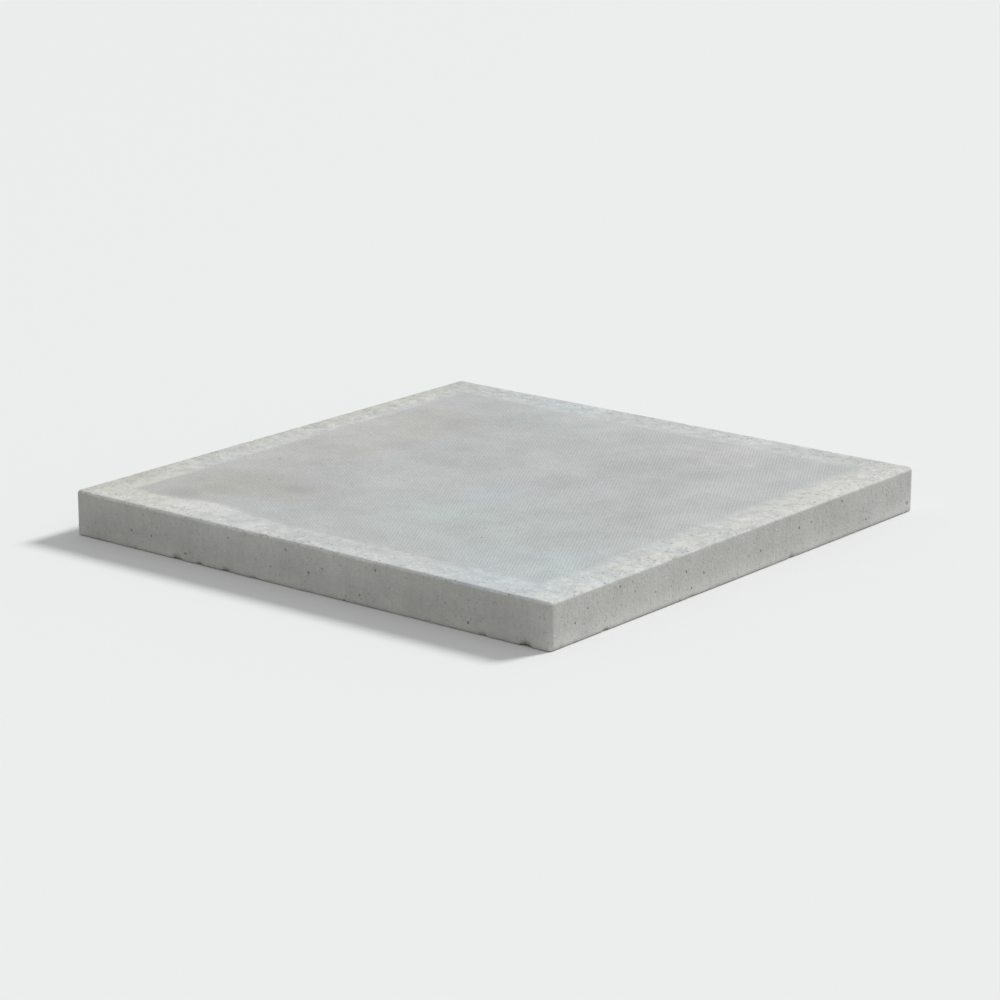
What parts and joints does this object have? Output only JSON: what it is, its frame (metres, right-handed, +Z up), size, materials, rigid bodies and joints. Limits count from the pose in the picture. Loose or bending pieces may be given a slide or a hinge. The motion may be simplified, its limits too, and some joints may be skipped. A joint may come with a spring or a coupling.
{
  "type": "concrete paving slab",
  "caption": "Square pressed concrete paving slab: flat bed face, upright sides, rounded arrises, and a fine-textured walking face inside a smooth margin.",
  "frame": {"origin": "middle of the bed face, at the slab's lowest level", "axes": "+Z up, from the bed face to the walking face; +X and +Y along the slab's two equal sides"},
  "size_m": [0.45, 0.45, 0.035],
  "materials": {
    "pressed_concrete": "matte pale grey pressed concrete, faintly mottled, with a paler smooth margin"
  },
  "bodies": {
    "root": {"slab": "pressed_concrete"}
  },
  "joints": []
}
